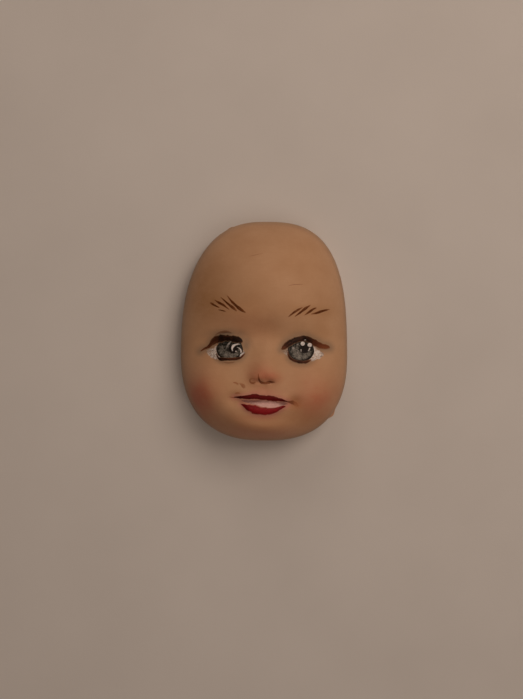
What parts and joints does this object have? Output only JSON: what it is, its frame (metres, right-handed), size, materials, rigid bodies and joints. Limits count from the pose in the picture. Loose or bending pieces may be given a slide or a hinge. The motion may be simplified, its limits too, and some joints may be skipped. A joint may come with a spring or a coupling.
{
  "type": "painted doll face",
  "caption": "Small hand-painted clay face plate for a doll or puppet, bald, with open eyes and a smiling mouth, flat at the back.",
  "frame": {"origin": "middle of the flat back, on the surface that the face lies on", "axes": "+X to the viewer's right, +Y up to the crown, +Z out of the face"},
  "size_m": [0.0416, 0.055, 0.0212],
  "materials": {
    "clay": "bare polymer clay, matt, with powder blush rubbed in",
    "white_paint": "acrylic, thin, satin",
    "iris_paint": "acrylic, blue-grey, satin",
    "dark_paint": "acrylic, thick, slight gloss",
    "highlight_paint": "acrylic, thick white dots, slight gloss",
    "brow_paint": "acrylic, red-brown, satin",
    "brown_wash": "thinned acrylic, brown, satin",
    "lip_dark_paint": "acrylic, dark crimson, slight gloss",
    "lip_red_paint": "acrylic, crimson, slight gloss",
    "teeth_paint": "acrylic, pinkish white, satin"
  },
  "bodies": {
    "root": {"clay_face": "clay", "eye_white_left": "white_paint", "eye_white_right": "white_paint", "iris_left": "iris_paint", "iris_right": "iris_paint", "iris_rim_left": "dark_paint", "iris_rim_right": "dark_paint", "pupil_left": "dark_paint", "pupil_right": "dark_paint", "eye_highlights_left": "highlight_paint", "eye_highlights_right": "highlight_paint", "upper_lid_line_left": "dark_paint", "upper_lid_line_right": "dark_paint", "lower_lid_line_left": "dark_paint", "lower_lid_line_right": "dark_paint", "brow_hairs_left": "brow_paint", "brow_hairs_right": "brow_paint", "nostril_strokes": "brown_wash", "upper_lip": "lip_dark_paint", "teeth": "teeth_paint", "lower_lip": "lip_red_paint", "mouth_corner_strokes": "brown_wash", "stray_paint_marks": "brown_wash"}
  },
  "joints": []
}
